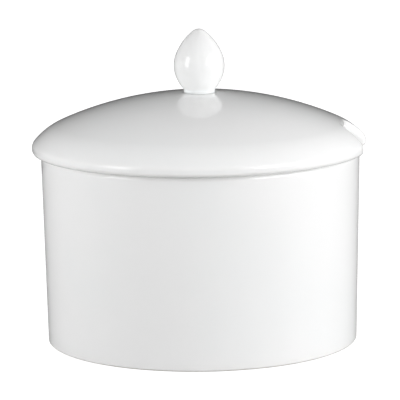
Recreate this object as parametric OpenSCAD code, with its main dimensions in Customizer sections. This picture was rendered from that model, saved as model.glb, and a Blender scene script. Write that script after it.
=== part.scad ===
// Lidded table pot of white glazed porcelain, with a spoon notch in the rim of its lid.
// Millimetres, +Z up. The origin is on the axis, in the plane that the foot ring stands on.
// The notch faces +X. Every round profile is a chain of tangent arcs, turned about Z.

/* [Pot] */
// Outer diameter at the rim
pot_rim_d = 94.8; // [80:0.2:120]
// Outer diameter at the base
pot_base_d = 92.4; // [80:0.2:110]
// Height of the rim, which is also the lid's seat
pot_h = 56.6; // [40:0.2:90]
// Wall thickness
pot_wall = 3; // [2.4:0.1:5]
// Floor thickness
pot_floor = 3.5; // [2:0.1:8]
// Radius of the rim's outer edge
lip_r = 1.1; // [0.4:0.1:1.8]
// Radius of the rim's inner edge
lip_inner_r = 0.7; // [0.3:0.1:1.4]
// Radius of the cove between wall and floor
cove_r = 7; // [2:0.5:20]

/* [Foot] */
// Radius of the outer edge at the base
base_edge_r = 0.8; // [0.3:0.1:2.5]
// Width of the bare ring that stands on the table
foot_w = 4; // [2:0.2:10]
// Depth of the recess inside the foot ring
foot_recess = 1.5; // [0.5:0.1:4]

/* [Lid] */
// How far the lid's widest line stands out past the pot's rim
lid_overhang = 2.6; // [1.5:0.1:6]
// Height of the crown above the seat
lid_rise = 17.75; // [12:0.25:30]
// Thickness of the crown
lid_wall = 3.2; // [2.4:0.1:5]
// Radius of the nose at the lid's edge
nose_r = 2.1; // [1.2:0.1:3.5]
// Radius of the shoulder between crown and nose
shoulder_r = 19; // [10:0.5:32]
// How far the nose lies inside the crown's own curve
shoulder_drop = 1.45; // [0.6:0.05:3]

/* [Locating flange] */
// Sideways play between the flange and the pot's bore
flange_clear = 0.9; // [0.4:0.1:2]
// Thickness of the flange
flange_t = 2.8; // [2:0.1:4]
// Depth of the flange below the seat
flange_h = 5; // [3:0.5:12]
// Radius of the corner between flange and crown, inside
hollow_r = 5; // [1:0.5:10]

/* [Spoon notch] */
// Width of the notch at its inner end
notch_w = 14; // [11:0.5:18]
// Depth of the notch, in from the lid's widest line
notch_depth = 7; // [5.5:0.1:9]
// Angle by which each side of the notch opens outwards
notch_flare = 15; // [11:1:30]
// Radius of the corners at the notch's inner end
notch_inner_r = 3.5; // [1.5:0.5:5]
// Radius of the rounded corners at the notch's mouth
notch_corner_r = 2.5; // [1:0.5:4]
// How far past the lid's widest line the mouth corners run out
notch_runout = 0.6; // [0.3:0.1:1.5]
// Width of the passage through the flange, below the notch
passage_w = 10; // [6:0.5:13]
// Height of the passage's arch above the seat
passage_rise = 3.5; // [1:0.5:5]

/* [Knob] */
// Greatest diameter of the drop
knob_d = 15; // [12:0.1:20]
// Radius of the underside, from the neck to the greatest diameter
knob_under_r = 10.1; // [7.5:0.1:12]
// Radius of the belly, just above the greatest diameter
knob_belly_r = 9.3; // [8:0.1:14]
// Angle at which the belly gives way to the straighter flank
knob_belly_angle = 23; // [15:1:40]
// Radius of the flank, from the belly to the tip
knob_flank_r = 17; // [16:0.5:30]
// Radius of the tip
knob_tip_r = 2.9; // [0.6:0.1:4]
// Diameter of the neck
knob_neck_d = 9.2; // [7:0.2:12]
// Radius of the hollow round the neck
knob_waist_r = 1.3; // [0.8:0.1:2.5]
// Angle that the hollow turns through below the neck, on its way to the crown
knob_flare_angle = 24; // [15:1:75]

/* [Hidden] */
white_glaze = [0.96, 0.96, 0.95];
// Most that a chord may lie inside its arc
chord_gap = 0.01;
// Extra length of a cut past the face that it opens
past = 1;
$fn = 96;

// Points along an arc about centre c, from angle a0 to angle a1
function arc(c, r, a0, a1) =
    let (steps = ceil(abs(a1 - a0) / (2 * acos(1 - chord_gap / r))))
    [for (i = [0:steps]) let (a = a0 + (a1 - a0) * i / steps) c + r * [cos(a), sin(a)]];

// A closed outline, with one point where one arc ends and the next begins
function outline(points) =
    [for (i = [0:len(points) - 1])
        if (norm(points[i] - points[(i + 1) % len(points)]) > chord_gap / 2) points[i]];

// Pot
rim_r = pot_rim_d / 2;
base_r = pot_base_d / 2;
wall_lean = atan((rim_r - base_r) / pot_h);
floor_z = foot_recess + pot_floor;
function wall_r(z) = base_r + (rim_r - base_r) * z / pot_h;
function bore_r(z) = wall_r(z) - pot_wall;
// Centre, at height z, of an arc that touches the leaning line through line_r from its inner side
function beside_line(line_r, z, r) = [line_r - r / cos(wall_lean), z];
base_edge_c = beside_line(wall_r(base_edge_r), base_edge_r, base_edge_r);
lip_c = beside_line(wall_r(pot_h - lip_r), pot_h - lip_r, lip_r);
lip_inner_c = beside_line(bore_r(pot_h - lip_inner_r), pot_h - lip_inner_r, -lip_inner_r);
cove_c = beside_line(bore_r(floor_z + cove_r), floor_z + cove_r, cove_r);
recess_c = [base_edge_c.x - foot_w - foot_recess, 0];

// Lid: the crown arc clears the nose by shoulder_drop, and the shoulder touches both from inside
seat_z = pot_h;
lid_r = rim_r + lid_overhang;
crown_z = seat_z + lid_rise;
nose_c = [lid_r - nose_r, seat_z + nose_r];
nose_drop = crown_z - nose_c.y;
nose_inset = nose_r + shoulder_drop;
crown_r = (nose_c.x^2 + nose_drop^2 - nose_inset^2) / (2 * (nose_drop - nose_inset));
crown_c = [0, crown_z - crown_r];
crown_to_nose = nose_c - crown_c;
crown_to_shoulder = crown_r - shoulder_r;
shoulder_to_nose = shoulder_r - nose_r;
shoulder_swing = acos((crown_to_shoulder^2 + norm(crown_to_nose)^2 - shoulder_to_nose^2)
    / (2 * crown_to_shoulder * norm(crown_to_nose)));
shoulder_start = atan2(crown_to_nose.y, crown_to_nose.x) + shoulder_swing;
shoulder_c = crown_c + crown_to_shoulder * [cos(shoulder_start), sin(shoulder_start)];
shoulder_end = atan2(nose_c.y - shoulder_c.y, nose_c.x - shoulder_c.x);

// Flange, and the hollow under the crown
flange_r = bore_r(seat_z) - flange_clear;
flange_in_r = flange_r - flange_t;
flange_z = seat_z - flange_h;
flange_end_c = [flange_r - flange_t / 2, flange_z + flange_t / 2];
hollow_crown_r = crown_r - lid_wall;
hollow_x = flange_in_r - hollow_r;
hollow_c = [hollow_x, crown_c.y + sqrt((hollow_crown_r - hollow_r)^2 - hollow_x^2)];
hollow_start = atan2(hollow_c.y - crown_c.y, hollow_x);

// Notch in plan: each side runs from an inner corner to a mouth corner that touches the run-out line
runout_r = lid_r + notch_runout;
inner_c = [lid_r - notch_depth + notch_inner_r, notch_w / 2 - notch_inner_r];
side_along = [cos(notch_flare), sin(notch_flare)];
side_across = [-sin(notch_flare), cos(notch_flare)];
corner_line = inner_c + (notch_inner_r + notch_corner_r) * side_across;
corner_reach = runout_r - notch_corner_r;
corner_run = sqrt(corner_reach^2 - (corner_line * side_across)^2) - corner_line * side_along;
corner_c = corner_line + corner_run * side_along;
corner_start = atan2(corner_c.y, corner_c.x);
mouth = [runout_r + past, runout_r * sin(corner_start)];

// Knob, from its foot up
neck_r = knob_neck_d / 2;
knob_r = knob_d / 2;
foot_r = neck_r + knob_waist_r * (1 - cos(knob_flare_angle));
land_angle = acos(foot_r / crown_r);
land_z = crown_c.y + crown_r * sin(land_angle);
waist_c = [neck_r + knob_waist_r, land_z + knob_waist_r * sin(knob_flare_angle)];
under_x = knob_r - knob_under_r;
knob_mid_z = waist_c.y + sqrt((knob_under_r + knob_waist_r)^2 - (waist_c.x - under_x)^2);
under_c = [under_x, knob_mid_z];
under_angle = atan2(waist_c.y - under_c.y, waist_c.x - under_c.x);
belly_c = [knob_r - knob_belly_r, knob_mid_z];
flank_c = belly_c - (knob_flank_r - knob_belly_r) * [cos(knob_belly_angle), sin(knob_belly_angle)];
tip_c = [0, flank_c.y + sqrt((knob_flank_r - knob_tip_r)^2 - flank_c.x^2)];
tip_angle = atan2(tip_c.y - flank_c.y, -flank_c.x);

// Section of the pot: floor, bore, rim, outer wall, foot ring and recess
module pot_section() {
    polygon(outline([
        [0, floor_z],
        each arc(cove_c, cove_r, -90, -wall_lean),
        each arc(lip_inner_c, lip_inner_r, 180 - wall_lean, 90),
        each arc(lip_c, lip_r, 90, -wall_lean),
        each arc(base_edge_c, base_edge_r, -wall_lean, -90),
        each arc(recess_c, foot_recess, 0, 90),
        [0, foot_recess]
    ]));
}

module pot() {
    color(white_glaze)
        rotate_extrude()
            pot_section();
}

// Section of the lid: land for the knob, crown, shoulder, nose, seat, flange and hollow
module lid_section() {
    polygon(outline([
        [0, land_z],
        each arc(crown_c, crown_r, land_angle, shoulder_start),
        each arc(shoulder_c, shoulder_r, shoulder_start, shoulder_end),
        each arc(nose_c, nose_r, shoulder_end, -90),
        [flange_r, seat_z],
        each arc(flange_end_c, flange_t / 2, 0, -180),
        each arc(hollow_c, hollow_r, 0, hollow_start),
        each arc(crown_c, hollow_crown_r, hollow_start, 90)
    ]));
}

// Notch in plan: two sides that open outwards, with rounded corners at the inner end and the mouth
module notch_plan() {
    polygon(outline([
        each arc(corner_c, notch_corner_r, corner_start, notch_flare - 90),
        each arc(inner_c, notch_inner_r, 90 + notch_flare, 180),
        each arc([inner_c.x, -inner_c.y], notch_inner_r, 180, 270 - notch_flare),
        each arc([corner_c.x, -corner_c.y], notch_corner_r, 90 - notch_flare, -corner_start),
        [mouth.x, -mouth.y],
        mouth
    ]));
}

// Passage in elevation: an arch that opens the flange below the notch
module passage_arch() {
    spring_z = seat_z + passage_rise - passage_w / 2;
    polygon(outline([
        each arc([0, spring_z], passage_w / 2, 0, 180),
        [-passage_w / 2, flange_z - past],
        [passage_w / 2, flange_z - past]
    ]));
}

// All that the handle of a spoon needs open: down through the lid's edge, and in through the flange
module notch() {
    translate([0, 0, flange_z - past])
        linear_extrude(crown_z - flange_z + past)
            notch_plan();
    translate([hollow_x, 0, 0])
        rotate([90, 0, 90])
            linear_extrude(mouth.x - hollow_x)
                passage_arch();
}

module lid() {
    color(white_glaze)
        difference() {
            rotate_extrude()
                lid_section();
            notch();
        }
}

// Section of the knob: foot, waist, underside, belly, flank and tip
module knob_section() {
    polygon(outline([
        [0, land_z],
        each arc(waist_c, knob_waist_r, 180 + knob_flare_angle, 180 + under_angle),
        each arc(under_c, knob_under_r, under_angle, 0),
        each arc(belly_c, knob_belly_r, 0, knob_belly_angle),
        each arc(flank_c, knob_flank_r, knob_belly_angle, tip_angle),
        each arc(tip_c, knob_tip_r, tip_angle, 90)
    ]));
}

module knob() {
    color(white_glaze)
        rotate_extrude()
            knob_section();
}

pot();
lid();
knob();
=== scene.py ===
"""Looks of a lidded table pot of white glazed porcelain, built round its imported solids.

Metres, +Z up, in the frame of the solids: the origin is on the axis, in the plane that the foot
ring stands on, and the spoon notch in the lid faces +X.
"""

import math
from collections import namedtuple

import bmesh
import bpy
import numpy as np
from bpy.props import FloatProperty, FloatVectorProperty, IntProperty, PointerProperty
from mathutils import Matrix, Vector


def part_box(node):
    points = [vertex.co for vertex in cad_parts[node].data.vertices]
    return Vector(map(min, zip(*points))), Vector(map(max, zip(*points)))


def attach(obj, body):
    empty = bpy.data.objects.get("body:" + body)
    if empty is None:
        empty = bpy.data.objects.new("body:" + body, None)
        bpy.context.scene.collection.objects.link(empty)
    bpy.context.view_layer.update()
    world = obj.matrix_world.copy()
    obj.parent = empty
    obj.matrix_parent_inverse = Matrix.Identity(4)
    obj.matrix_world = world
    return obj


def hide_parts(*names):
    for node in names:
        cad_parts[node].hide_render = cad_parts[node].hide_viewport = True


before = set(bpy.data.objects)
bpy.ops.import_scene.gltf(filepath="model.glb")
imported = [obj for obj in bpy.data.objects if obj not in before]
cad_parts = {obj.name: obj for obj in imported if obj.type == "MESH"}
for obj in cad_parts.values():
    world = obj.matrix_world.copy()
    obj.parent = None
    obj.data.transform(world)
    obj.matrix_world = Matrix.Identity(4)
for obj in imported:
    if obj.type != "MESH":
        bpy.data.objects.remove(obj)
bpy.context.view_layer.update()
pot_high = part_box("pot")[1]
lid_low, lid_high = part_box("lid")
knob_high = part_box("knob")[1]

bl_info = {
    "name": "Lidded table pot",
    "version": (1, 0, 0),
    "blender": (4, 5, 0),
    "location": "View3D > Sidebar > Table pot",
    "description": "Makes a white porcelain table pot, its domed lid with a knob, and a plain studio",
    "category": "Object",
}

MM = 0.001
WHITE = (1, 1, 1, 1)
BLACK = (0, 0, 0, 1)

# Turned sections: the widest step along an arc in degrees, and the distances in metres below which
# points count as one
WIDEST_TURN = 6.0
SAME_POINT = 1e-6
WELD = 2e-6

# Notch: how far its rounding reaches, in radii of its edge, and how points are brought onto it
EDGE_REACH = 4
HALVINGS = 24
NEWTON_STEPS = 8
SLOPE_STEP = 1e-6
LEAST_SLOPE = 0.5

# Attribute that says how sharply a surface bends, in 1/mm: 1 on a ball of 1 mm radius
BEND = "bend"
BEND_PASSES = 3

# Noise: its middle value, and the two values between which most of it lies
NOISE_MIDDLE = 0.5
NOISE_LOW = 0.3
NOISE_HIGH = 0.7

# Studio: headings and lifts are degrees, to the right of the line from the pot to the camera and above
# the table, lengths are metres, and a radiance of 1 looks white. A lamp that isn't mirrored lights the
# pot but doesn't show in the glaze. A glow starts and is full at two cosines of the angle from its
# direction.
FLOOR_SIDE = 4.0
AIM_Z = 0.07
Softbox = namedtuple("Softbox", "name heading distance height width tall radiance mirrored")
SOFTBOXES = (
    Softbox("left_softbox", -57, 0.38, 0.165, 0.145, 0.20, 4.5, True),
    Softbox("left_wall", -88, 0.75, 0.16, 0.75, 0.30, 3.1, False),
    Softbox("right_softbox", 61, 0.76, 0.27, 0.72, 0.43, 5.2, True),
    Softbox("right_low", 61, 0.76, 0.06, 0.72, 0.11, 2.6, False),
    Softbox("front_low", -8, 1.0, 0.07, 1.4, 0.13, 3.4, False),
)
Card = namedtuple("Card", "heading distance width tall")
DARK_CARD = Card(-172, 0.30, 0.6, 0.08)
Glow = namedtuple("Glow", "heading lift start full radiance")
GLOWS = (
    Glow(0, 90, 0.05, 0.95, 0.39),
    Glow(130, 25, 0.7, 1.0, 0.54),
    Glow(-100, 0, 0.2, 1.0, 0.13),
)


def length(name, description, default):
    """A property for a length in metres."""
    return FloatProperty(name=name, description=description, default=default, min=0.0, precision=5,
                         unit="LENGTH")


def turn(name, description, default):
    """A property for an angle in radians."""
    return FloatProperty(name=name, description=description, default=default, subtype="ANGLE")


def amount(name, description, default, high=1.0):
    """A property for a plain number from 0 up."""
    return FloatProperty(name=name, description=description, default=default, min=0.0, max=high,
                         precision=4)


def colour(name, description, default):
    """A property for a linear colour."""
    return FloatVectorProperty(name=name, description=description, default=default, size=3, min=0.0,
                               max=1.0, subtype="COLOR")


class PotSizes(bpy.types.PropertyGroup):
    rim_r: length("Rim radius", "Outer radius at the rim", pot_high.y)
    rim_z: length("Rim height", "Height of the rim, on which the lid sits", pot_high.z)
    base_r: length("Base radius", "Radius at which the wall would meet the table", 46.2 * MM)
    wall: length("Wall", "Thickness of the wall", 3.0 * MM)
    floor: length("Floor", "Thickness of the floor", 3.5 * MM)
    lip_r: length("Lip radius", "Radius of the rim's outer edge", 1.6 * MM)
    lip_turn: turn("Lip turn", "Angle at which that edge gives way to the rim's top", math.radians(40))
    top_r: length("Top radius", "Radius between that edge and the rim's top", 0.6 * MM)
    lip_inner_r: length("Inner lip radius", "Radius of the rim's inner edge", 0.7 * MM)
    cove_r: length("Cove radius", "Radius of the cove between wall and floor", 7.0 * MM)
    base_edge_r: length("Base edge radius", "Radius of the outer edge at the base", 0.5 * MM)
    foot_w: length("Foot width", "Width of the bare ring that stands on the table", 4.3 * MM)
    foot_recess: length("Foot recess", "Depth of the recess inside the foot ring", 1.5 * MM)
    bare_z: length("Bare height", "Height up to which the foot ring has no glaze", 0.3 * MM)
    segments: IntProperty(name="Segments", description="Faces round the pot", default=256, min=16)
    spacing: length("Spacing", "Longest face along the section", 2.5 * MM)


class LidSizes(bpy.types.PropertyGroup):
    radius: length("Radius", "Radius at the lid's widest line", lid_high.y)
    rise: length("Rise", "Height of the crown above the seat", 17.75 * MM)
    wall: length("Wall", "Thickness of the crown", 3.2 * MM)
    nose_r: length("Nose radius", "Radius of the nose at the lid's edge", 2.1 * MM)
    under_r: length("Underside radius", "Radius of the nose below the widest line", 1.2 * MM)
    seam: length("Seam", "Height of the gap between the nose and the rim", 0.3 * MM)
    bearing_r: length("Bearing radius", "Outer radius of the flat that bears on the rim", 45.2 * MM)
    shoulder_r: length("Shoulder radius", "Radius between crown and nose", 19.0 * MM)
    shoulder_drop: length("Shoulder drop", "How far the nose lies inside the crown's curve", 1.45 * MM)
    flange_r: length("Flange radius", "Outer radius of the locating flange", 43.5 * MM)
    flange_t: length("Flange thickness", "Thickness of the locating flange", 2.8 * MM)
    flange_z: length("Flange end", "Height of the flange's lower end", lid_low.z)
    hollow_r: length("Hollow radius", "Radius between flange and crown, inside", 5.0 * MM)
    bare_h: length("Bare height", "Height of the flange's end that has no glaze", 0.6 * MM)
    notch_w: length("Notch width", "Width of the notch at its inner end", 14.0 * MM)
    notch_depth: length("Notch depth", "Depth of the notch from the widest line", 7.0 * MM)
    notch_flare: turn("Notch flare", "Angle by which each side opens outwards", math.radians(15))
    notch_inner_r: length("Notch inner corner", "Radius of the corners at the inner end", 3.5 * MM)
    notch_corner_r: length("Notch corner", "Radius of the corners at the mouth", 2.5 * MM)
    notch_runout: length("Notch run-out", "How far the corners run past the edge", 0.6 * MM)
    notch_edge_r: length("Notch edge", "Radius that the glaze leaves on the edges", 1.3 * MM)
    passage_w: length("Passage width", "Width of the way through the flange", 10.0 * MM)
    passage_rise: length("Passage rise", "Height of its arch above the seat", 3.5 * MM)
    passage_edge_r: length("Passage edge", "Radius of the edges of the passage", 0.6 * MM)
    segments: IntProperty(name="Segments", description="Faces round the lid", default=400, min=16)
    crowding: amount("Crowding", "How closely faces crowd towards the notch", 0.8, 0.95)
    spacing: length("Spacing", "Longest face along the crown", 1.6 * MM)
    edge_spacing: length("Edge spacing", "Longest face near the edge", 0.35 * MM)


class KnobSizes(bpy.types.PropertyGroup):
    radius: length("Radius", "Greatest radius of the drop", knob_high.y)
    under_r: length("Underside radius", "Radius from the neck to the belly", 10.1 * MM)
    belly_r: length("Belly radius", "Radius just above the widest line", 9.3 * MM)
    belly_turn: turn("Belly turn", "Angle at which the belly gives way to the flank", math.radians(23))
    flank_r: length("Flank radius", "Radius from the belly to the tip", 17.0 * MM)
    tip_r: length("Tip radius", "Radius of the tip", 2.9 * MM)
    neck_r: length("Neck radius", "Radius of the neck", 4.6 * MM)
    waist_r: length("Waist radius", "Radius of the hollow round the neck", 1.3 * MM)
    flare: turn("Flare", "Angle that the hollow turns through below the neck", math.radians(24))
    glaze_r: length("Glaze radius", "Radius of the glaze that gathers round the foot", 0.3 * MM)
    segments: IntProperty(name="Segments", description="Faces round the knob", default=160, min=16)
    spacing: length("Spacing", "Longest face along the section", 0.6 * MM)


class GlazeLook(bpy.types.PropertyGroup):
    body: colour("Glazed colour", "Porcelain under clear glaze", (0.93, 0.93, 0.925))
    drift: colour("Drift colour", "Where the glaze lies a little thicker", (0.905, 0.912, 0.912))
    edge: colour("Edge colour", "Where the glaze has run thin over an edge", (0.925, 0.918, 0.905))
    hollow: colour("Hollow colour", "Where the glaze has gathered in a hollow", (0.85, 0.875, 0.88))
    clay: colour("Clay colour", "Porcelain that the glaze was wiped off", (0.80, 0.775, 0.73))
    gloss: amount("Roughness", "Roughness of the glaze", 0.035)
    gloss_drift: amount("Roughness drift", "How much that roughness varies", 0.015)
    clay_gloss: amount("Bare roughness", "Roughness of bare clay", 0.75)
    depth: length("Light depth", "How far light goes into the porcelain", 0.6 * MM)
    depth_share: amount("Light depth share", "Share of the light that goes in", 1.0)
    depth_tint: colour("Light depth tint", "Share of that depth for each colour", (1.0, 1.0, 1.0))
    edge_bend: amount("Edge bend", "Bend at which the glaze has run thin", 0.7)
    hollow_bend: amount("Hollow bend", "Bend at which the glaze has gathered", 0.5)
    drift_size: length("Drift size", "Width of the glaze's slow changes", 34 * MM)
    wave_size: length("Wave size", "Width of the waves in the glaze", 12 * MM)
    wave_depth: length("Wave depth", "Depth of those waves", 0.004 * MM)
    peel_size: length("Peel size", "Width of the finest ripples in the glaze", 1.1 * MM)
    peel_depth: length("Peel depth", "Depth of those ripples", 0.0003 * MM)
    grain_size: length("Grain size", "Width of the grain of bare clay", 0.25 * MM)
    grain_depth: length("Grain depth", "Depth of that grain", 0.01 * MM)
    skin: length("Glaze thickness", "Step where the glaze ends", 0.06 * MM)
    wander: length("Wander", "How far the line where the glaze ends wanders", 0.3 * MM)


class StudioLook(bpy.types.PropertyGroup):
    distance: length("Distance", "From the axis to the camera, along the table", 0.9)
    eye_z: length("Eye height", "Height of the camera", 0.2031)
    heading: turn("Heading", "Turn of the camera round the pot", math.radians(5.4))
    pitch: turn("Pitch", "Downward tilt of the camera", 0.1774)
    roll: turn("Roll", "Tilt of the camera to one side", -0.0131)
    lens: FloatProperty(name="Lens", description="Focal length", default=275.7, unit="CAMERA")
    shift: FloatProperty(name="Shift", description="Sideways shift, as a share of the frame",
                         default=-0.00225)
    light: amount("Light", "Strength of all the lamps and the sky", 1.0, 10.0)
    floor: colour("Floor", "Colour of the floor in the light that it gets", (0.25, 0.25, 0.25))
    floor_glow: amount("Floor glow", "Light that the floor gives off", 0.10)
    floor_lift: amount("Floor lift", "Light added where the camera sees the floor", 0.9)


def arc(centre, radius, start, end, spacing):
    """Points on an arc in the section plane, from one angle to another, in degrees."""
    by_turn = abs(end - start) / WIDEST_TURN
    by_length = math.radians(abs(end - start)) * radius / spacing
    angles = np.radians(np.linspace(start, end, math.ceil(max(by_turn, by_length, 1)) + 1))
    return np.array(centre) + radius * np.column_stack([np.cos(angles), np.sin(angles)])


def chain(runs, spacing):
    """One line of points through the runs, with points added along its straight stretches."""
    corners = np.vstack(runs)
    points = [corners[0]]
    for corner in corners[1:]:
        last = points[-1]
        gap = np.hypot(*(corner - last))
        if gap > SAME_POINT:
            points.extend(np.linspace(last, corner, math.ceil(gap / spacing) + 1)[1:])
    return np.array(points)


def meeting(first, reach, second, other_reach):
    """The point at two distances from two others, on the left of the line between them."""
    across = second - first
    span = np.hypot(*across)
    along = (reach ** 2 - other_reach ** 2 + span ** 2) / (2 * span)
    aside = math.sqrt(reach ** 2 - along ** 2)
    return first + (along * across + aside * np.array([-across[1], across[0]])) / span


def heading(start, end):
    """Direction from one point to another, in degrees."""
    return math.degrees(math.atan2(end[1] - start[1], end[0] - start[0]))


def pot_section(sizes):
    """From the middle of the floor, up the bore, over the rim and down to the foot's recess."""
    lean = math.degrees(math.atan2(sizes.rim_r - sizes.base_r, sizes.rim_z))
    floor_z = sizes.foot_recess + sizes.floor

    def beside_wall(z, inset, radius):
        wall_r = sizes.base_r + (sizes.rim_r - sizes.base_r) * z / sizes.rim_z - inset
        return wall_r - radius / math.cos(math.radians(lean)), z

    def bend(centre, radius, start, end):
        return arc(centre, radius, start, end, sizes.spacing)

    cove = beside_wall(floor_z + sizes.cove_r, sizes.wall, sizes.cove_r)
    lip_inner = beside_wall(sizes.rim_z - sizes.lip_inner_r, sizes.wall, -sizes.lip_inner_r)
    lip_turn = math.degrees(sizes.lip_turn)
    lip_rise = sizes.top_r + (sizes.lip_r - sizes.top_r) * math.sin(sizes.lip_turn)
    lip = beside_wall(sizes.rim_z - lip_rise, 0, sizes.lip_r)
    top = (lip[0] - (sizes.top_r - sizes.lip_r) * math.cos(sizes.lip_turn), sizes.rim_z - sizes.top_r)
    base_edge = beside_wall(sizes.base_edge_r, 0, sizes.base_edge_r)
    recess = (base_edge[0] - sizes.foot_w - sizes.foot_recess, 0)
    return chain([
        [(0, floor_z)],
        bend(cove, sizes.cove_r, -90, -lean),
        bend(lip_inner, sizes.lip_inner_r, 180 - lean, 90),
        bend(top, sizes.top_r, 90, lip_turn),
        bend(lip, sizes.lip_r, lip_turn, -lean),
        bend(base_edge, sizes.base_edge_r, -lean, -90),
        bend(recess, sizes.foot_recess, 0, 90),
        [(0, sizes.foot_recess)],
    ], sizes.spacing)


class LidForm:
    """The lid's arcs, its section and the distance of any point from its rounded surface."""

    def __init__(self, sizes, seat_z, land_r):
        self.sizes = sizes
        self.seat_z = seat_z
        self.land_r = land_r
        self.crown_z = seat_z + sizes.rise
        self.nose = np.array([sizes.radius - sizes.nose_r, seat_z + sizes.nose_r])
        drop = self.crown_z - self.nose[1]
        inset = sizes.nose_r + sizes.shoulder_drop
        self.crown_r = (self.nose[0] ** 2 + drop ** 2 - inset ** 2) / (2 * (drop - inset))
        self.crown = np.array([0, self.crown_z - self.crown_r])
        self.lay_shoulder()
        self.lay_notch()
        self.section = self.draw_section()

    def lay_shoulder(self):
        """The shoulder touches the crown and the nose from inside."""
        shoulder_r = self.sizes.shoulder_r
        self.shoulder = meeting(self.crown, self.crown_r - shoulder_r,
                                self.nose, shoulder_r - self.sizes.nose_r)
        self.shoulder_start = heading(self.crown, self.shoulder)
        self.shoulder_end = heading(self.shoulder, self.nose)

    def lay_notch(self):
        """In plan each side runs from an inner corner to a mouth corner on the run-out line."""
        sizes = self.sizes
        self.deep_x = sizes.radius - sizes.notch_depth
        self.runout_r = sizes.radius + sizes.notch_runout
        self.inner = np.array([self.deep_x + sizes.notch_inner_r,
                               sizes.notch_w / 2 - sizes.notch_inner_r])
        self.along = np.array([math.cos(sizes.notch_flare), math.sin(sizes.notch_flare)])
        self.across = np.array([-self.along[1], self.along[0]])
        line = self.inner + (sizes.notch_inner_r + sizes.notch_corner_r) * self.across
        reach = math.sqrt((self.runout_r - sizes.notch_corner_r) ** 2 - (line @ self.across) ** 2)
        self.corner = line + (reach - line @ self.along) * self.along

    def crown_at(self, radius):
        """Height of the crown's own arc at a distance from the axis."""
        return self.crown[1] + math.sqrt(self.crown_r ** 2 - radius ** 2)

    def draw_section(self):
        """From the land under the knob over crown, nose, seat and flange to the hollow's middle."""
        sizes = self.sizes
        fine = sizes.edge_spacing

        def crown_turn(radius):
            return math.degrees(math.acos(radius / self.crown_r))

        nose_under = (sizes.radius - sizes.under_r, self.seat_z + sizes.seam + sizes.under_r)
        flange_end = (sizes.flange_r - sizes.flange_t / 2, sizes.flange_z + sizes.flange_t / 2)
        hollow_crown_r = self.crown_r - sizes.wall
        hollow_x = sizes.flange_r - sizes.flange_t - sizes.hollow_r
        hollow_rise = math.sqrt((hollow_crown_r - sizes.hollow_r) ** 2 - hollow_x ** 2)
        hollow_start = math.degrees(math.atan2(hollow_rise, hollow_x))
        near_notch = crown_turn(self.deep_x - EDGE_REACH * sizes.notch_edge_r)
        edge = chain([
            arc(self.crown, self.crown_r, near_notch, self.shoulder_start, fine),
            arc(self.shoulder, sizes.shoulder_r, self.shoulder_start, self.shoulder_end, fine),
            arc(self.nose, sizes.nose_r, self.shoulder_end, 0, fine),
            arc(nose_under, sizes.under_r, 0, -90, fine),
            [(sizes.bearing_r, self.seat_z), (sizes.flange_r, self.seat_z)],
            arc(flange_end, sizes.flange_t / 2, 0, -180, fine),
            arc((hollow_x, self.crown[1] + hollow_rise), sizes.hollow_r, 0, hollow_start, fine),
        ], fine)
        return chain([
            [(0, self.crown_at(self.land_r))],
            arc(self.crown, self.crown_r, crown_turn(self.land_r), near_notch, sizes.spacing),
            edge,
            arc(self.crown, hollow_crown_r, hollow_start, 90, sizes.spacing),
        ], sizes.spacing)

    def inside_notch(self, x, y):
        """How far a point lies in the notch's opening in plan, or short of it where negative."""
        sizes = self.sizes
        spot = np.column_stack([x, np.abs(y)])
        from_inner, from_corner = spot - self.inner, spot - self.corner
        side = sizes.notch_inner_r - from_inner @ self.across
        open_to = np.where((from_inner @ self.along < 0) & (from_inner[:, 1] > 0),
                           sizes.notch_inner_r - np.hypot(*from_inner.T),
                           np.minimum(side, x - self.deep_x))
        open_to = np.where(from_corner @ self.along > 0,
                           np.hypot(*from_corner.T) - sizes.notch_corner_r, open_to)
        past_corner = spot @ np.array([-self.corner[1], self.corner[0]]) / np.hypot(*self.corner)
        run_out = np.hypot(*spot.T) - self.runout_r
        run_out -= np.maximum(past_corner, 0) ** 2 / (2 * sizes.notch_corner_r)
        return np.where(past_corner > 0, run_out, open_to)

    def inside_passage(self, y, z):
        """How far a point lies in the arch through the flange, seen along X."""
        half = self.sizes.passage_w / 2
        spring_z = self.seat_z + self.sizes.passage_rise - half
        return half - np.hypot(y, np.maximum(z - spring_z, 0))

    def distance(self, points):
        """Signed distance from the lid with its notch and rounded edges, negative inside."""
        x, y, z = points.T
        solid = outline_distance(np.column_stack([np.hypot(x, y), z]), self.section)
        cut = round_overlap(solid, self.inside_notch(x, y), self.sizes.notch_edge_r)
        return round_overlap(cut, self.inside_passage(y, z), self.sizes.passage_edge_r)


def round_overlap(a, b, radius):
    """Signed distance of what lies in both of two bodies, with the edge between them rounded."""
    reach = np.hypot(np.maximum(radius + a, 0), np.maximum(radius + b, 0))
    return np.minimum(-radius, np.maximum(a, b)) + reach


def outline_distance(points, outline):
    """Signed distance in a plane from a closed outline, negative inside."""
    nearest = np.full(len(points), np.inf)
    inside = np.zeros(len(points), bool)
    for start, end in zip(outline, np.roll(outline, -1, axis=0)):
        along = end - start
        away = points - start
        share = np.clip(away @ along / (along @ along), 0, 1)
        nearest = np.minimum(nearest, np.hypot(*(away - share[:, None] * along).T))
        if start[1] != end[1]:
            spans = (start[1] > points[:, 1]) != (end[1] > points[:, 1])
            crossing = start[0] + along[0] * (points[:, 1] - start[1]) / along[1]
            inside ^= spans & (points[:, 0] < crossing)
    return np.where(inside, -nearest, nearest)


def foot_radius(sizes):
    """Radius of the knob's foot, and of the flat that the lid holds for it."""
    return sizes.neck_r + sizes.waist_r * (1 - math.cos(sizes.flare))


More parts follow.
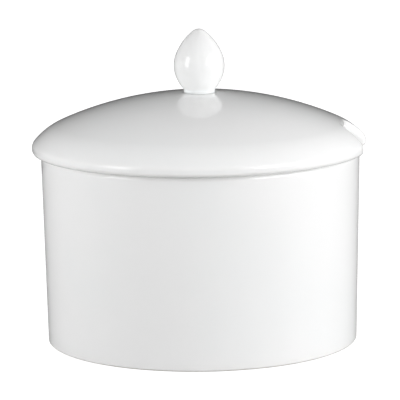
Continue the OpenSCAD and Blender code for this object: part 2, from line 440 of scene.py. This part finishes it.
def knob_section(sizes, form):
    """From the foot's middle, round the gathered glaze and the waist, up the drop to its tip."""
    def bend(centre, radius, start, end):
        return arc(centre, radius, start, end, sizes.spacing)

    land_z = form.crown_at(form.land_r)
    waist = np.array([sizes.neck_r + sizes.waist_r, land_z + sizes.waist_r * math.sin(sizes.flare)])
    glaze = meeting(form.crown, form.crown_r + sizes.glaze_r, waist, sizes.waist_r - sizes.glaze_r)
    under_x = sizes.radius - sizes.under_r
    under_rise = math.sqrt((sizes.under_r + sizes.waist_r) ** 2 - (waist[0] - under_x) ** 2)
    under = np.array([under_x, waist[1] + under_rise])
    belly = np.array([sizes.radius - sizes.belly_r, under[1]])
    belly_turn = math.degrees(sizes.belly_turn)
    belly_end = np.array([math.cos(sizes.belly_turn), math.sin(sizes.belly_turn)])
    flank = belly - (sizes.flank_r - sizes.belly_r) * belly_end
    tip = np.array([0, flank[1] + math.sqrt((sizes.flank_r - sizes.tip_r) ** 2 - flank[0] ** 2)])
    waist_turn = heading(waist, glaze) % 360
    return chain([
        [(0, land_z), (form.land_r, land_z)],
        bend(glaze, sizes.glaze_r, heading(glaze, form.crown) % 360, waist_turn),
        bend(waist, sizes.waist_r, waist_turn, heading(waist, under) % 360),
        bend(under, sizes.under_r, heading(under, waist), 0),
        bend(belly, sizes.belly_r, 0, belly_turn),
        bend(flank, sizes.flank_r, belly_turn, heading(flank, tip)),
        bend(tip, sizes.tip_r, heading(flank, tip), 90),
    ], sizes.spacing)


def find_socket(sockets, key):
    """A node's socket by its place in the list, its identifier or its name."""
    if isinstance(key, int):
        return sockets[key]
    return next((socket for socket in sockets if socket.identifier == key), None) or sockets[key]


class TreeMaker:
    """Adds nodes to a tree: kind, settings first, then the values or links of its inputs."""

    def __init__(self, tree):
        self.tree = tree

    def node(self, kind, settings=None, inputs=None):
        made = self.tree.nodes.new(kind)
        for name, value in (settings or {}).items():
            setattr(made, name, value)
        for key, value in (inputs or {}).items():
            socket = find_socket(made.inputs, key)
            if isinstance(value, Field):
                value = value.socket
            if isinstance(value, bpy.types.NodeSocket):
                self.tree.links.new(value, socket)
            else:
                socket.default_value = value
        return made

    def field(self, kind, settings=None, inputs=None, output=0):
        return Field(self, find_socket(self.node(kind, settings, inputs).outputs, output))

    def join(self, field, socket):
        self.tree.links.new(field.socket, socket)


class Field:
    """A socket's value, so that node maths reads as an expression."""

    def __init__(self, maker, socket):
        self.maker = maker
        self.socket = socket

    def math(self, operation, *values):
        kind = "ShaderNodeMath"
        return self.maker.field(kind, {"operation": operation}, dict(enumerate(values)))

    def __add__(self, other):
        return self.math("ADD", self, other)

    def __radd__(self, other):
        return self.math("ADD", other, self)

    def __sub__(self, other):
        return self.math("SUBTRACT", self, other)

    def __rsub__(self, other):
        return self.math("SUBTRACT", other, self)

    def __mul__(self, other):
        return self.math("MULTIPLY", self, other)

    def __truediv__(self, other):
        return self.math("DIVIDE", self, other)

    def __mod__(self, other):
        return self.math("FLOORED_MODULO", self, other)

    def floor(self):
        return self.math("FLOOR", self)

    def sine(self):
        return self.math("SINE", self)

    def cosine(self):
        return self.math("COSINE", self)

    def steps_up(self, low, high):
        """0 at low and short of it, 1 at high and past it, and a soft step between them."""
        return self.maker.field("ShaderNodeMapRange", {"interpolation_type": "SMOOTHSTEP"},
                                {"Value": self, "From Min": low, "From Max": high})

    def tint(self, low, high):
        """A colour between two others: low at 0 and high at 1."""
        return self.maker.field("ShaderNodeMix", {"data_type": "RGBA"},
                                {"Factor_Float": self, "A_Color": low, "B_Color": high},
                                "Result_Color")


def turning_tree():
    """Geometry nodes that turn a line of section points, radius in X and height in Z, about Z."""
    name = "turned_section"
    if name in bpy.data.node_groups:
        return bpy.data.node_groups[name]
    tree = bpy.data.node_groups.new(name, "GeometryNodeTree")
    wanted = [("Section", "NodeSocketGeometry"), ("Segments", "NodeSocketInt"),
              ("Crowding", "NodeSocketFloat"), ("Weld", "NodeSocketFloat"),
              ("Glaze", "NodeSocketMaterial")]
    for label, kind in wanted:
        tree.interface.new_socket(label, in_out="INPUT", socket_type=kind)
    tree.interface.new_socket("Turned", in_out="OUTPUT", socket_type="NodeSocketGeometry")
    make = TreeMaker(tree)
    given = make.node("NodeGroupInput").outputs
    rows = make.field("GeometryNodeAttributeDomainSize", {"component": "MESH"},
                      {"Geometry": given["Section"]}, "Point Count")
    columns = Field(make, given["Segments"])
    sheet = make.node("GeometryNodeMeshGrid", None,
                      {"Vertices X": columns + 1, "Vertices Y": rows}).outputs["Mesh"]
    index = make.field("GeometryNodeInputIndex")
    place = make.field("GeometryNodeInputPosition")
    point = make.field("GeometryNodeSampleIndex", {"data_type": "FLOAT_VECTOR", "domain": "POINT"},
                       {"Geometry": given["Section"], "Value": place, "Index": index % rows})
    across = make.node("ShaderNodeSeparateXYZ", None, {"Vector": point}).outputs
    radius = Field(make, across["X"])
    even = (index / rows).floor() / columns * math.tau
    angle = even - even.sine() * Field(make, given["Crowding"])
    spot = make.field("ShaderNodeCombineXYZ", None, {"X": radius * angle.cosine(),
                                                     "Y": radius * angle.sine(),
                                                     "Z": across["Z"]})
    moved = make.field("GeometryNodeSetPosition", None, {"Geometry": sheet, "Position": spot})
    welded = make.field("GeometryNodeMergeByDistance", None,
                        {"Geometry": moved, "Distance": given["Weld"]})
    smooth = make.field("GeometryNodeSetShadeSmooth", None, {"Geometry": welded})
    real = make.field("GeometryNodeRealizeInstances", None, {"Geometry": smooth})
    dressed = make.field("GeometryNodeSetMaterial", None,
                         {"Geometry": real, "Material": given["Glaze"]})
    make.node("NodeGroupOutput", None, {"Turned": dressed})
    return tree


def add_object(name, data):
    """A new object in the scene."""
    made = bpy.data.objects.new(name, data)
    bpy.context.scene.collection.objects.link(made)
    return made


def turned_piece(name, section, segments, crowding, glaze):
    """A mesh object made by turning a section about the axis."""
    line = bpy.data.meshes.new(name + "_section")
    line.from_pydata([(r, 0, z) for r, z in section], [], [])
    maker = add_object(name + "_maker", line)
    tree = turning_tree()
    turning = maker.modifiers.new("turning", "NODES")
    turning.node_group = tree
    given = {"Segments": segments, "Crowding": crowding, "Weld": SAME_POINT, "Glaze": glaze}
    for item in tree.interface.items_tree:
        if item.name in given:
            turning[item.identifier] = given[item.name]
    graph = bpy.context.evaluated_depsgraph_get()
    mesh = bpy.data.meshes.new_from_object(maker.evaluated_get(graph))
    mesh.name = name
    bpy.data.objects.remove(maker)
    bpy.data.meshes.remove(line)
    close_mesh(mesh)
    return add_object(name, mesh)


def close_mesh(mesh):
    """Welds doubles, drops faces without area and turns every face outwards."""
    work = bmesh.new()
    work.from_mesh(mesh)
    bmesh.ops.remove_doubles(work, verts=work.verts, dist=WELD)
    bmesh.ops.dissolve_degenerate(work, edges=work.edges, dist=WELD)
    bmesh.ops.recalc_face_normals(work, faces=work.faces)
    if work.calc_volume(signed=True) < 0:
        bmesh.ops.reverse_faces(work, faces=work.faces)
    open_edges = sum(not edge.is_manifold for edge in work.edges)
    work.to_mesh(mesh)
    work.free()
    mesh.shade_smooth()
    if open_edges:
        raise RuntimeError(f"{mesh.name} has {open_edges} open edges")


def draw_in(form, points):
    """Moves points that lie in the notch straight in towards the axis, up to its wall."""
    sizes = form.sizes
    out = np.hypot(points[:, 0], points[:, 1])
    outward = points[:, :2] / out[:, None]
    low = np.full(len(out), sizes.radius - 2 * sizes.notch_depth)
    high = np.full(len(out), sizes.radius)
    for _ in range(HALVINGS):
        middle = (low + high) / 2
        clear = form.inside_notch(middle * outward[:, 0], middle * outward[:, 1]) < 0
        low, high = np.where(clear, middle, low), np.where(clear, high, middle)
    points[:, :2] = outward * np.minimum(out, low)[:, None]


def lift_over_passage(form, points):
    """Lifts the flange's points that lie in the passage up to its arch."""
    sizes = form.sizes
    y, z = points[:, 1], points[:, 2]
    half = sizes.passage_w / 2
    spring_z = form.seat_z + sizes.passage_rise - half
    beside = np.clip((half + sizes.notch_edge_r - np.abs(y)) / (2 * sizes.notch_edge_r), 0, 1)
    roof_z = spring_z + np.sqrt(np.maximum(half ** 2 - y ** 2, 0))
    lifted = sizes.flange_z + (roof_z - sizes.flange_z) * beside
    under = (z < form.crown_z - sizes.rise / 2) & (beside > 0)
    points[:, 2] = np.where(under, np.maximum(z, lifted), z)


def settle(form, points):
    """Brings points onto the lid's rounded surface, each along its own slope."""
    for _ in range(NEWTON_STEPS):
        off = form.distance(points)
        slope = np.column_stack([
            (form.distance(points + step) - form.distance(points - step)) / (2 * SLOPE_STEP)
            for step in np.eye(3) * SLOPE_STEP])
        steep = np.maximum((slope ** 2).sum(1), LEAST_SLOPE ** 2)
        points -= slope * (off / steep)[:, None]


def cut_notch(piece, form):
    """Draws the lid's edge in round the notch, and lifts the flange over the passage."""
    sizes = form.sizes
    mesh = piece.data
    points = np.empty(len(mesh.vertices) * 3)
    mesh.vertices.foreach_get("co", points)
    points = points.reshape(-1, 3)
    reach = EDGE_REACH * sizes.notch_edge_r
    near = points[:, 0] > sizes.flange_r - sizes.flange_t - 2 * sizes.hollow_r
    near &= (form.inside_notch(points[:, 0], points[:, 1]) > -reach) | (
        np.abs(points[:, 1]) < sizes.passage_w / 2 + reach)
    moved = points[near]
    draw_in(form, moved)
    lift_over_passage(form, moved)
    settle(form, moved)
    points[near] = moved
    mesh.vertices.foreach_set("co", points.ravel())
    mesh.update()
    close_mesh(mesh)


def note_bend(mesh):
    """Stores how sharply the surface bends at each point, above 0 on edges and below 0 in hollows."""
    count = len(mesh.vertices)
    points, normals = np.empty((count, 3)), np.empty((count, 3))
    ends = np.empty((len(mesh.edges), 2), np.int32)
    mesh.vertices.foreach_get("co", points.ravel())
    mesh.vertices.foreach_get("normal", normals.ravel())
    mesh.edges.foreach_get("vertices", ends.ravel())
    first, second = ends.T
    along = points[second] - points[first]
    swing = normals[second] - normals[first]
    edge_bend = (along * swing).sum(1) / (along ** 2).sum(1) * MM
    neighbours = np.bincount(ends.ravel(), minlength=count)
    bend = np.bincount(ends.ravel(), np.repeat(edge_bend, 2), count) / neighbours
    for _ in range(BEND_PASSES):
        around = np.bincount(first, bend[second], count) + np.bincount(second, bend[first], count)
        bend = (bend + around / neighbours) / 2
    mesh.attributes.new(BEND, "FLOAT", "POINT").data.foreach_set("value", bend)


def glaze_material(name, look, bare_z):
    """Clear glaze over white porcelain: thin on edges, gathered in hollows, wiped off below bare_z."""
    made = bpy.data.materials.new(name)
    made.use_nodes = True
    make = TreeMaker(made.node_tree)
    shader = made.node_tree.nodes["Principled BSDF"]
    place = make.field("ShaderNodeTexCoord", output="Object")

    def cloud(size):
        return make.field("ShaderNodeTexNoise", None, {"Vector": place, "Scale": 1 / size})

    drift, wave, peel = cloud(look.drift_size), cloud(look.wave_size), cloud(look.peel_size)
    grain = cloud(look.grain_size)
    bend = make.field("ShaderNodeAttribute", {"attribute_name": BEND}, None, "Fac")
    edge = bend.steps_up(0, look.edge_bend)
    hollow = bend.steps_up(0, -look.hollow_bend)
    height = make.field("ShaderNodeSeparateXYZ", None, {"Vector": place}, "Z")
    glaze_end = height + (wave - NOISE_MIDDLE) * look.wander
    glazed = glaze_end.steps_up(bare_z - look.skin, bare_z + look.skin)

    white = drift.steps_up(NOISE_LOW, NOISE_HIGH).tint((*look.body, 1), (*look.drift, 1))
    thinned = edge.tint(white, (*look.edge, 1))
    gathered = hollow.tint(thinned, (*look.hollow, 1))
    colour_over = glazed.tint((*look.clay, 1), gathered)
    gloss = look.gloss + (drift - NOISE_MIDDLE) * look.gloss_drift
    roughness = look.clay_gloss + (gloss - look.clay_gloss) * glazed
    surface = (wave * look.wave_depth + peel * look.peel_depth + look.skin) * glazed
    relief = surface + grain * look.grain_depth * (1 - glazed)
    bump = make.field("ShaderNodeBump", None, {"Distance": 1.0, "Height": relief})
    make.join(colour_over, shader.inputs["Base Color"])
    make.join(roughness, shader.inputs["Roughness"])
    make.join(bump, shader.inputs["Normal"])
    shader.inputs["Subsurface Weight"].default_value = look.depth_share
    shader.inputs["Subsurface Radius"].default_value = look.depth_tint
    shader.inputs["Subsurface Scale"].default_value = look.depth
    return made


def finish_piece(piece, body, node):
    """Puts a finished piece on its body, in place of its solid."""
    note_bend(piece.data)
    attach(piece, body)
    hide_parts(node)


class MakePot(bpy.types.Operator):
    """Turns the open pot with its rim, cove and foot ring"""
    bl_idname = "table_pot.make_pot"
    bl_label = "Make the pot"

    def execute(self, context):
        scene = context.scene
        sizes = scene.pot_sizes
        glaze = glaze_material("pot_glaze", scene.glaze_look, sizes.bare_z)
        piece = turned_piece("glazed_pot", pot_section(sizes), sizes.segments, 0.0, glaze)
        finish_piece(piece, "pot", "pot")
        return {"FINISHED"}


class MakeLid(bpy.types.Operator):
    """Turns the domed lid with its flange and cuts the spoon notch"""
    bl_idname = "table_pot.make_lid"
    bl_label = "Make the lid"

    def execute(self, context):
        scene = context.scene
        sizes = scene.lid_sizes
        form = LidForm(sizes, scene.pot_sizes.rim_z, foot_radius(scene.knob_sizes))
        glaze = glaze_material("lid_glaze", scene.glaze_look, sizes.flange_z + sizes.bare_h)
        piece = turned_piece("glazed_lid", form.section, sizes.segments, sizes.crowding, glaze)
        cut_notch(piece, form)
        finish_piece(piece, "lid", "lid")
        return {"FINISHED"}


class MakeKnob(bpy.types.Operator):
    """Turns the drop-shaped knob on the lid's crown"""
    bl_idname = "table_pot.make_knob"
    bl_label = "Make the knob"

    def execute(self, context):
        scene = context.scene
        sizes = scene.knob_sizes
        form = LidForm(scene.lid_sizes, scene.pot_sizes.rim_z, foot_radius(sizes))
        glaze = glaze_material("knob_glaze", scene.glaze_look, 0.0)
        section = knob_section(sizes, form)
        piece = turned_piece("glazed_knob", section, sizes.segments, 0.0, glaze)
        finish_piece(piece, "lid", "knob")
        return {"FINISHED"}


def toward(look, heading, lift=0.0):
    """Direction at a heading to the right of the camera's side and a lift, both in degrees."""
    spun = math.radians(heading) + look.heading - math.pi / 2
    level = math.cos(math.radians(lift))
    return Vector((level * math.cos(spun), level * math.sin(spun), math.sin(math.radians(lift))))


def make_floor(look):
    """A pale floor, lifted to white where the camera sees it."""
    half = FLOOR_SIDE / 2
    sheet = bpy.data.meshes.new("floor")
    sheet.from_pydata([(-half, -half, 0), (half, -half, 0), (half, half, 0), (-half, half, 0)],
                      [], [(0, 1, 2, 3)])
    paint = bpy.data.materials.new("floor_paint")
    paint.use_nodes = True
    paint.node_tree.nodes.clear()
    make = TreeMaker(paint.node_tree)
    matt = make.field("ShaderNodeBsdfDiffuse", None, {"Color": (*look.floor, 1)})
    seen = make.field("ShaderNodeLightPath", output="Is Camera Ray")
    lift = make.field("ShaderNodeEmission", None,
                      {"Strength": seen * look.floor_lift + look.floor_glow})
    both = make.field("ShaderNodeAddShader", None, {0: matt, 1: lift})
    make.node("ShaderNodeOutputMaterial", None, {"Surface": both})
    sheet.materials.append(paint)
    add_object("floor", sheet)


def make_dark_card(look):
    """A black card behind the pot, which shows only as the dark edge of its reflections."""
    across = toward(look, DARK_CARD.heading + 90) * DARK_CARD.width / 2
    foot = toward(look, DARK_CARD.heading) * DARK_CARD.distance
    top = Vector((0, 0, DARK_CARD.tall))
    sheet = bpy.data.meshes.new("dark_card")
    sheet.from_pydata([foot - across, foot + across, foot + across + top, foot - across + top],
                      [], [(0, 1, 2, 3)])
    paint = bpy.data.materials.new("card_black")
    paint.use_nodes = True
    shader = paint.node_tree.nodes["Principled BSDF"]
    shader.inputs["Base Color"].default_value = BLACK
    shader.inputs["Specular IOR Level"].default_value = 0
    sheet.materials.append(paint)
    card = add_object("dark_card", sheet)
    card.visible_camera = False
    card.visible_diffuse = False
    card.visible_shadow = False


def make_softbox(box, look):
    """A rectangular lamp that faces the pot."""
    lamp = bpy.data.lights.new(box.name, "AREA")
    lamp.shape = "RECTANGLE"
    lamp.size = box.width
    lamp.size_y = box.tall
    lamp.energy = box.radiance * look.light * math.pi * box.width * box.tall
    light = add_object(box.name, lamp)
    light.visible_glossy = box.mirrored
    light.visible_camera = False
    light.location = toward(look, box.heading) * box.distance + Vector((0, 0, box.height))
    light.rotation_euler = (Vector((0, 0, AIM_Z)) - light.location).to_track_quat("-Z", "Y").to_euler()


def make_sky(look):
    """A sky that is dark behind the pot and glows softly from above and from both sides."""
    sky = bpy.data.worlds.new("studio_sky")
    sky.use_nodes = True
    make = TreeMaker(sky.node_tree)
    view = make.field("ShaderNodeTexCoord", output="Generated")
    glow = 0
    for part in GLOWS:
        facing = make.field("ShaderNodeVectorMath", {"operation": "DOT_PRODUCT"},
                            {0: view, 1: toward(look, part.heading, part.lift)}, "Value")
        glow = facing.steps_up(part.start, part.full) * (part.radiance * look.light) + glow
    shader = sky.node_tree.nodes["Background"]
    shader.inputs["Color"].default_value = WHITE
    make.join(glow, shader.inputs["Strength"])
    bpy.context.scene.world = sky


def make_camera(look):
    """A long lens at the photograph's angle."""
    lens = bpy.data.cameras.new("camera")
    lens.lens = look.lens
    lens.shift_x = look.shift
    eye = add_object("camera", lens)
    tilt = Matrix.Rotation(math.pi / 2 - look.pitch, 4, "X")
    eye.matrix_world = (Matrix.Rotation(look.heading, 4, "Z")
                        @ Matrix.Translation((0, -look.distance, look.eye_z))
                        @ tilt @ Matrix.Rotation(look.roll, 4, "Z"))
    bpy.context.scene.camera = eye


class MakeStudio(bpy.types.Operator):
    """Sets a pale floor, soft lights and the camera"""
    bl_idname = "table_pot.make_studio"
    bl_label = "Make the studio"

    def execute(self, context):
        look = context.scene.studio_look
        make_floor(look)
        make_dark_card(look)
        for box in SOFTBOXES:
            make_softbox(box, look)
        make_sky(look)
        make_camera(look)
        context.scene.view_settings.view_transform = "Standard"
        return {"FINISHED"}


class PotPanel(bpy.types.Panel):
    """Lists the pieces in the 3D view's sidebar"""
    bl_idname = "TABLE_POT_PT_pieces"
    bl_label = "Lidded table pot"
    bl_space_type = "VIEW_3D"
    bl_region_type = "UI"
    bl_category = "Table pot"

    def draw(self, context):
        for maker in MAKERS:
            self.layout.operator(maker.bl_idname)


MAKERS = (MakePot, MakeLid, MakeKnob, MakeStudio)
SETTINGS = {"pot_sizes": PotSizes, "lid_sizes": LidSizes, "knob_sizes": KnobSizes,
            "glaze_look": GlazeLook, "studio_look": StudioLook}


def register():
    for made in (*SETTINGS.values(), *MAKERS, PotPanel):
        bpy.utils.register_class(made)
    for name, group in SETTINGS.items():
        setattr(bpy.types.Scene, name, PointerProperty(type=group))


def unregister():
    for name in SETTINGS:
        delattr(bpy.types.Scene, name)
    for made in (PotPanel, *reversed(MAKERS), *SETTINGS.values()):
        bpy.utils.unregister_class(made)


def main():
    """Makes every piece and the studio."""
    register()
    bpy.ops.table_pot.make_pot()
    bpy.ops.table_pot.make_lid()
    bpy.ops.table_pot.make_knob()
    bpy.ops.table_pot.make_studio()


if __name__ == "__main__":
    main()
